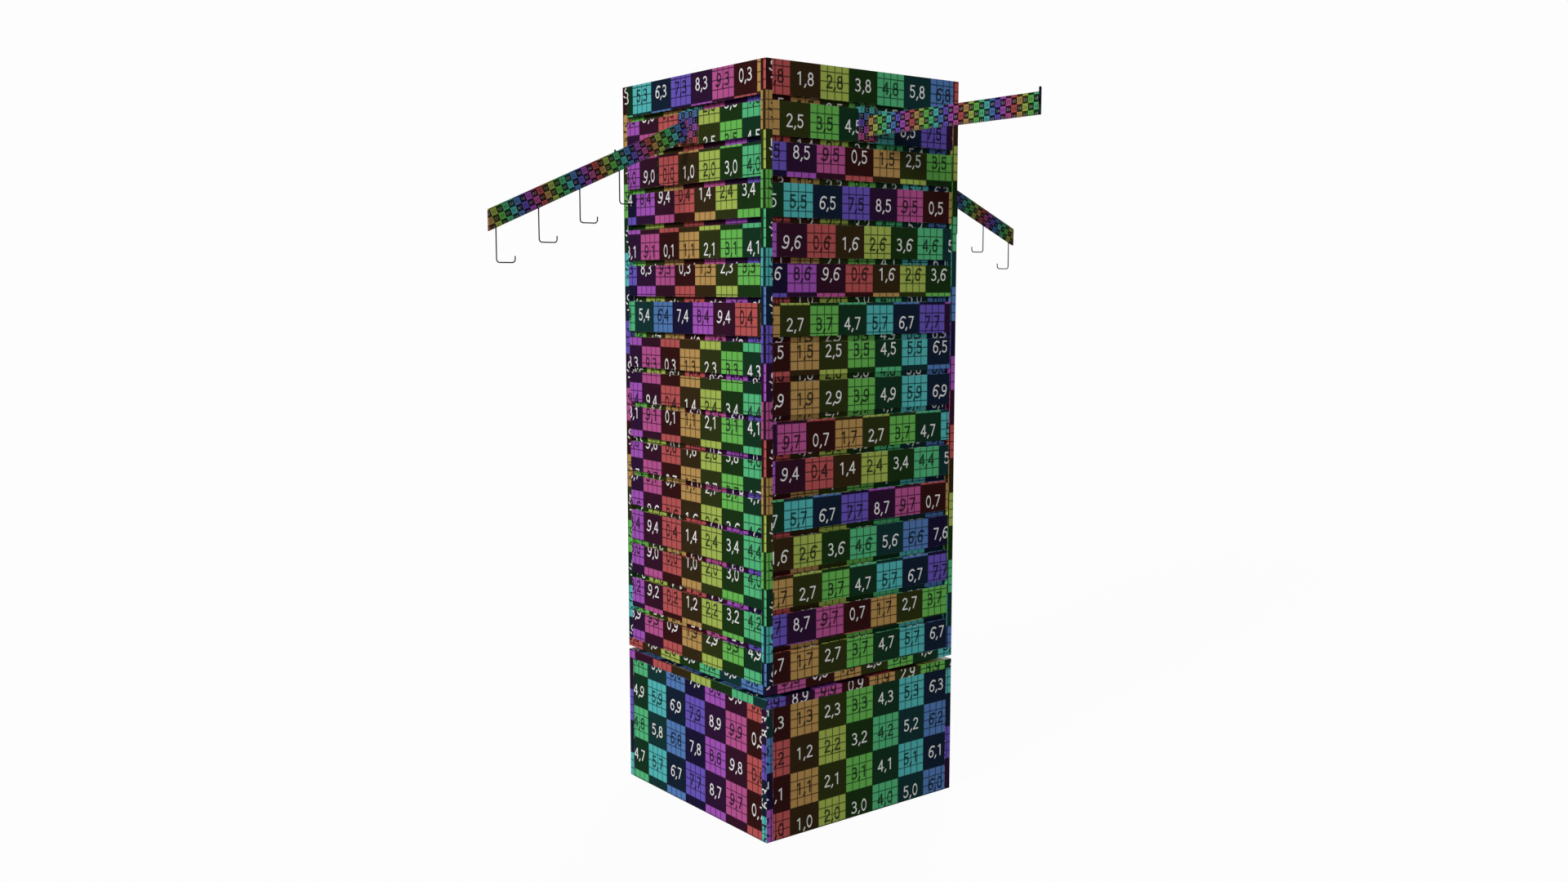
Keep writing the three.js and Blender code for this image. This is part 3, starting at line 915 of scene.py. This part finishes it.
def waterfall_bar_map(low, high):
    """Print laid along the slope. Its columns count from the tip towards the tower."""
    slope = Vector((0, 1, WATERFALL_FALL)).normalized()
    square_up = Vector((0, -slope.z, slope.y))
    tip_top = Vector((0, low.y, high.z - WATERFALL_FALL * (high.y - low.y)))
    tip_bottom = Vector((0, low.y, low.z))
    tip_middle = (tip_top + tip_bottom) / 2

    def mapping(middle, normal):
        column = WATERFALL_TIP_COLUMN - slope.dot(tip_middle) / ARM_TILE
        across = slope / ARM_TILE
        upward = square_up / ARM_TILE
        if normal.x > FACING:
            return (column, WATERFALL_TOP_ROW - upward.dot(tip_top)), across, upward
        if normal.x < -FACING:
            return (column, WATERFALL_BOTTOM_ROW + upward.dot(tip_bottom)), across, -upward
        if abs(normal.z) > FACING:
            rowward = -X_AXIS if normal.z > 0 else X_AXIS
            return (column, NARROW_EDGE), across, rowward / ARM_TILE
        return WATERFALL_TIP_PRINT, X_AXIS / ARM_TILE, UP / ARM_TILE

    return mapping


def add_bar(node, side, mapping, top_fall):
    """A flat bar with eased edges and a weld bead around its root."""
    low, high = local_box(node, side)
    shape = ease_edges(local_cad_mesh(node, side), STEEL_EDGE)
    depth = high.z - low.z - top_fall
    inset = WELD_RADIUS / 3
    root_low = high.z - depth - inset
    root_high = high.z + inset
    path = rectangle_path(
        low.x - inset, high.x + inset, root_low, root_high, high.y, WELD_STEP)
    add_bead(shape, path, Y_AXIS, WELD_RADIUS, len(path) // WELD_RIPPLE_STEPS)
    print_on(shape, mapping(low, high))
    place(node, turn_shape(shape, side))


def add_end_tab(node, side):
    """A thin plate with a round top, across the bar's end."""
    low, high = local_box(node, side)
    radius = (high.x - low.x) / 2
    edge = PRESSED_EDGE
    steps = 16

    def outline(y, inset):
        points = [Vector((low.x + inset, y, low.z + inset)),
                  Vector((high.x - inset, y, low.z + inset))]
        reach = radius - inset
        for index in range(steps + 1):
            angle = math.pi * index / steps
            level = high.z - radius + reach * math.sin(angle)
            points.append(Vector((reach * math.cos(angle), y, level)))
        return points

    shape = bmesh.new()
    stations = ((low.y, edge), (low.y + edge, 0.0), (high.y - edge, 0.0), (high.y, edge))
    add_loft(shape, [outline(y, inset) for y, inset in stations])

    def mapping(middle, normal):
        column = TAB_TOP_COLUMN - high.z / ARM_TILE
        if abs(normal.y) > FACING:
            rowward = X_AXIS if normal.y > 0 else -X_AXIS
            return (column, TAB_ROW), UP / ARM_TILE, rowward / ARM_TILE
        edge_row = TAB_EDGE_ROW - low.y / ARM_TILE
        return (column, edge_row), UP / ARM_TILE, Y_AXIS / ARM_TILE

    print_on(shape, mapping)
    place(node, turn_shape(shape, side))


def hook_route(low, high, radius):
    """Centre line of a hook, from the bar down, along its leg and up."""
    shank = low.y + radius
    tip = high.y - radius
    leg = low.z + radius
    points = []
    bend_level = leg + HOOK_BEND
    drops = 12
    turns = 8
    for index in range(drops):
        points.append(Vector((0, shank, high.z + (bend_level - high.z) * index / drops)))
    for centre, start in ((shank + HOOK_BEND, math.pi), (tip - HOOK_BEND, 1.5 * math.pi)):
        for index in range(turns + 1):
            angle = start + math.pi / 2 * index / turns
            reach = Vector((0, math.cos(angle), math.sin(angle))) * HOOK_BEND
            points.append(Vector((0, centre, bend_level)) + reach)
    points.append(Vector((0, tip, leg + HOOK_RISE - radius)))
    return points


def add_hook(node, side):
    """A J of round wire with a rounded tip, welded under the bar."""
    low, high = local_box(node, side)
    radius = (high.x - low.x) / 2
    route = hook_route(low, high, radius)
    loops = []
    lengths = []
    travelled = 0.0
    for index, point in enumerate(route):
        before = route[max(index - 1, 0)]
        after = route[min(index + 1, len(route) - 1)]
        along = (after - before).normalized()
        travelled += (point - before).length
        lengths.append(travelled)
        loops.append(circle(point, X_AXIS, along.cross(X_AXIS), radius, HOOK_SIDES))
    tip_along = (route[-1] - route[-2]).normalized()
    for angle in (30, 60, 82):
        turn = math.radians(angle)
        point = route[-1] + tip_along * radius * math.sin(turn)
        narrowed = radius * math.cos(turn)
        loops.append(circle(point, X_AXIS, tip_along.cross(X_AXIS), narrowed, HOOK_SIDES))
        lengths.append(travelled + radius * math.sin(turn))
    shape = add_loft(bmesh.new(), loops)
    layer = shape.loops.layers.uv.new("print")
    shape.verts.ensure_lookup_table()
    shape.verts.index_update()
    row_step = 2 * math.pi * radius / HOOK_SIDES / ARM_TILE
    for face in shape.faces:
        stations = [corner.vert.index % HOOK_SIDES for corner in face.loops]
        wraps = max(stations) - min(stations) > HOOK_SIDES / 2
        for corner in face.loops:
            station = corner.vert.index % HOOK_SIDES
            turned_on = station + HOOK_SIDES if wraps and station == 0 else station
            length = lengths[corner.vert.index // HOOK_SIDES]
            corner[layer].uv = (1.0 + length / ARM_TILE, 0.2 + turned_on * row_step)
    slope = Vector((0, 1, WATERFALL_FALL)).normalized()
    root = route[0] + HOOK_WELD_LIFT * UP
    path = circle(root, X_AXIS, slope, radius * 1.15, 24)
    add_bead(shape, path, UP, radius * 0.5, WELD_RIPPLE_STEPS)
    place(node, turn_shape(shape, side))


def add_waterfall_arm(side):
    add_bracket(f"waterfall_bracket_{side}", side, *WATERFALL_BRACKET_PRINT)
    node = f"waterfall_bar_{side}"
    low, high = local_box(node, side)
    add_bar(node, side, waterfall_bar_map, WATERFALL_FALL * (high.y - low.y))
    for number in range(1, HOOK_COUNT + 1):
        add_hook(f"waterfall_hook_{side}_{number}", side)


def add_straight_arm(side):
    add_bracket(f"straight_bracket_{side}", side, *STRAIGHT_BRACKET_PRINT)
    add_bar(f"straight_bar_{side}", side, straight_bar_map, 0.0)
    add_end_tab(f"straight_end_tab_{side}", side)


# ---- glides, screws and bearing ----------------------------------------------------------------

GLIDE_RIM = 0.0027  # height of the moulded disc
GLIDE_ROUND = 0.0026
GLIDE_ROUND_RISE = 0.0013
GLIDE_EASE = 0.0003
NAIL_RADIUS = 0.001
NAIL_HEAD_RADIUS = 0.0042
NAIL_RECESS = 0.0004
NAIL_SHANK_END = 0.012  # above the floor, where the nail's point begins


def add_glides():
    """Moulded glides with a rounded rim around a nail."""
    for corner in CORNERS:
        node = f"floor_glide_{corner}"
        low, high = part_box(node)
        centre = Vector(((low.x + high.x) / 2, (low.y + high.y) / 2, 0.0))
        outer = (high.x - low.x) / 2
        flat_radius = outer - GLIDE_ROUND
        profile = [(0.0, NAIL_RECESS), (NAIL_HEAD_RADIUS, NAIL_RECESS),
                   (NAIL_HEAD_RADIUS + NAIL_RECESS, 0.0), (flat_radius, 0.0)]
        for angle in (20, 45, 70):
            turn = math.radians(angle)
            reach = flat_radius + GLIDE_ROUND * math.sin(turn)
            profile.append((reach, GLIDE_ROUND_RISE * (1 - math.cos(turn))))
        profile += [(outer, GLIDE_ROUND_RISE + 0.0001), (outer, GLIDE_RIM - GLIDE_EASE),
                    (outer - GLIDE_EASE, GLIDE_RIM), (NAIL_RADIUS + 0.0001, GLIDE_RIM)]
        profile += [(NAIL_RADIUS, GLIDE_RIM + 0.0002), (NAIL_RADIUS, NAIL_SHANK_END),
                    (NAIL_RADIUS / 2, NAIL_SHANK_END + 0.0011), (0.0, high.z)]
        place(node, turned(profile, centre, 48))


SCREW_RADIUS = 0.002
SCREW_HEAD_RADIUS = 0.0042
SCREW_HEAD_HEIGHT = 0.002
HEAD_SHOULDER = 0.0009  # height at which the head starts to dome
HEAD_DOME = 0.0010
HEAD_ROUND = 0.0012
DRIVE_RADIUS = 0.0024  # top of the dome, around the square drive
DRIVE_HALF_WIDTH = 0.0013
DRIVE_DEPTH = 0.0012
THREAD_PITCH = 0.0018
THREAD_DEPTH = 0.0005
NECK_LENGTH = 0.0015  # plain shank under the head
POINT_LENGTH = 0.0035


def screw_shape(centre, length, upside_down):
    """A pan-head screw with a cut thread and a square drive, its head's underside at z = 0."""
    shape = bmesh.new()
    count = 32
    sense = -1.0 if upside_down else 1.0

    def spot(radius, angle, height):
        turn = Vector((radius * math.cos(angle), sense * radius * math.sin(angle), sense * height))
        return centre + turn

    angles = [2 * math.pi * index / count for index in range(count)]
    loops = []
    steps = 72
    for step in range(steps + 1):
        height = -length + length * step / steps
        taper = min(1.0, 0.08 + (height + length) / POINT_LENGTH)
        loop = []
        for angle in angles:
            phase = (height / THREAD_PITCH - angle / (2 * math.pi)) % 1.0
            crest = max(0.0, 1.0 - abs(phase - 0.5) * 4.0)
            smooth = 1.0 if height > -NECK_LENGTH else 0.0
            root_radius = SCREW_RADIUS - THREAD_DEPTH * (1.0 - max(crest, smooth))
            loop.append(spot(root_radius * taper, angle, height))
        loops.append(loop)
    head = [(SCREW_HEAD_RADIUS - 0.0002, 0.0), (SCREW_HEAD_RADIUS, 0.0003),
            (SCREW_HEAD_RADIUS, HEAD_SHOULDER)]
    for turn in (25, 50, 75):
        angle = math.radians(turn)
        reach = SCREW_HEAD_RADIUS - HEAD_ROUND + HEAD_ROUND * math.cos(angle)
        head.append((reach, HEAD_SHOULDER + HEAD_DOME * math.sin(angle)))
    head.append((DRIVE_RADIUS, SCREW_HEAD_HEIGHT))
    for radius, height in head:
        loops.append([spot(radius, angle, height) for angle in angles])
    for depth in (0.0, DRIVE_DEPTH):
        height = SCREW_HEAD_HEIGHT - depth
        half_width = DRIVE_HALF_WIDTH - depth / 6
        loop = []
        for angle in angles:
            reach = half_width / max(abs(math.cos(angle)), abs(math.sin(angle)))
            loop.append(spot(reach, angle, height))
        loops.append(loop)
    return add_loft(shape, loops)


def add_screws():
    for kind in ("lower", "upper"):
        for number in range(1, 5):
            node = f"swivel_{kind}_screw_{number}"
            low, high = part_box(node)
            upper = kind == "upper"
            level = low.z + SCREW_HEAD_HEIGHT if upper else high.z - SCREW_HEAD_HEIGHT
            centre = Vector(((low.x + high.x) / 2, (low.y + high.y) / 2, level))
            length = high.z - low.z - SCREW_HEAD_HEIGHT
            place(node, screw_shape(centre, length, upper))


PLATE_CORNER = 0.008
PLATE_CORNER_REACH = 0.2  # the plates' corners lie further out than this
RIDGE_OFFSET = 0.0032  # of each ridge from the middle of the race
RIDGE_RADIUS = 0.0004
RIDGE_SEGMENTS = 96


def add_swivel_plates():
    """Square plates with rounded corners and two pressed ridges that keep the balls in track."""
    for kind in ("lower", "upper"):
        node = f"swivel_{kind}_plate"
        low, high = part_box(node)
        shape = cad_mesh(node)
        corners = [edge for edge in sharp_edges(shape)
                   if runs_along(edge, UP)
                   and edge.verts[0].co.xy.length > PLATE_CORNER_REACH]
        round_edges(shape, corners, PLATE_CORNER, 6)
        ease_edges(shape, PRESSED_EDGE)
        inner_face = high.z if kind == "lower" else low.z
        for radius in (RACE_RADIUS - RIDGE_OFFSET, RACE_RADIUS + RIDGE_OFFSET):
            loops = []
            for index in range(RIDGE_SEGMENTS):
                angle = 2 * math.pi * index / RIDGE_SEGMENTS
                away = Vector((math.cos(angle), math.sin(angle), 0))
                middle = away * radius + UP * inner_face
                loops.append(circle(middle, away, UP, RIDGE_RADIUS, BEAD_SIDES))
            add_loft(shape, loops, closed=True)
        place(node, shape)


CAGE_HALF_THICKNESS = 0.0008
CAGE_EDGE = 0.0002
CAGE_SEGMENTS = 144
CAGE_LIP = 0.0003
BALL_SEGMENTS = 28


def cage_section(half_width):
    """Cut across the flat cage, with small chamfers, as (reach, height) around its middle."""
    wide, thick, edge = half_width, CAGE_HALF_THICKNESS, CAGE_EDGE
    return [(-wide + edge, -thick), (wide - edge, -thick), (wide, -thick + edge),
            (wide, thick - edge), (wide - edge, thick), (-wide + edge, thick),
            (-wide, thick - edge), (-wide, -thick + edge)]


def add_ball_ring():
    """Twelve steel balls in a flat cage with a raised lip around each ball."""
    node = "swivel_ball_ring"
    low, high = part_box(node)
    level = (low.z + high.z) / 2
    outer = max(high.x, high.y)
    section = cage_section(outer - RACE_RADIUS)
    shape = bmesh.new()
    loops = []
    for index in range(CAGE_SEGMENTS):
        angle = 2 * math.pi * index / CAGE_SEGMENTS
        away = Vector((math.cos(angle), math.sin(angle), 0))
        loops.append([away * (RACE_RADIUS + reach) + UP * (level + height)
                      for reach, height in section])
    add_loft(shape, loops, closed=True)
    ball_radius = (high.z - low.z) / 2
    for index in range(BALL_COUNT):
        angle = 2 * math.pi * (index + 0.5) / BALL_COUNT
        centre = Vector((RACE_RADIUS * math.cos(angle), RACE_RADIUS * math.sin(angle), level))
        bmesh.ops.create_uvsphere(
            shape, u_segments=BALL_SEGMENTS, v_segments=16, radius=ball_radius,
            matrix=Matrix.Translation(centre))
        for height in (-CAGE_HALF_THICKNESS, CAGE_HALF_THICKNESS):
            path = circle(centre + UP * height, X_AXIS, Y_AXIS, ball_radius, BALL_SEGMENTS)
            add_bead(shape, path, UP, CAGE_LIP, 0)
    place(node, shape)


# ---- the whole object --------------------------------------------------------------------------

add_camera()
add_lights()
add_studio()
add_slat_panels()
add_plinth_panels()
add_printed_boards()
add_posts()
add_raw_boards()
for arm_side in ("front", "back"):
    add_waterfall_arm(arm_side)
for arm_side in ("right", "left"):
    add_straight_arm(arm_side)
add_glides()
add_screws()
add_swivel_plates()
add_ball_ring()
bpy.context.scene.view_settings.view_transform = "Standard"
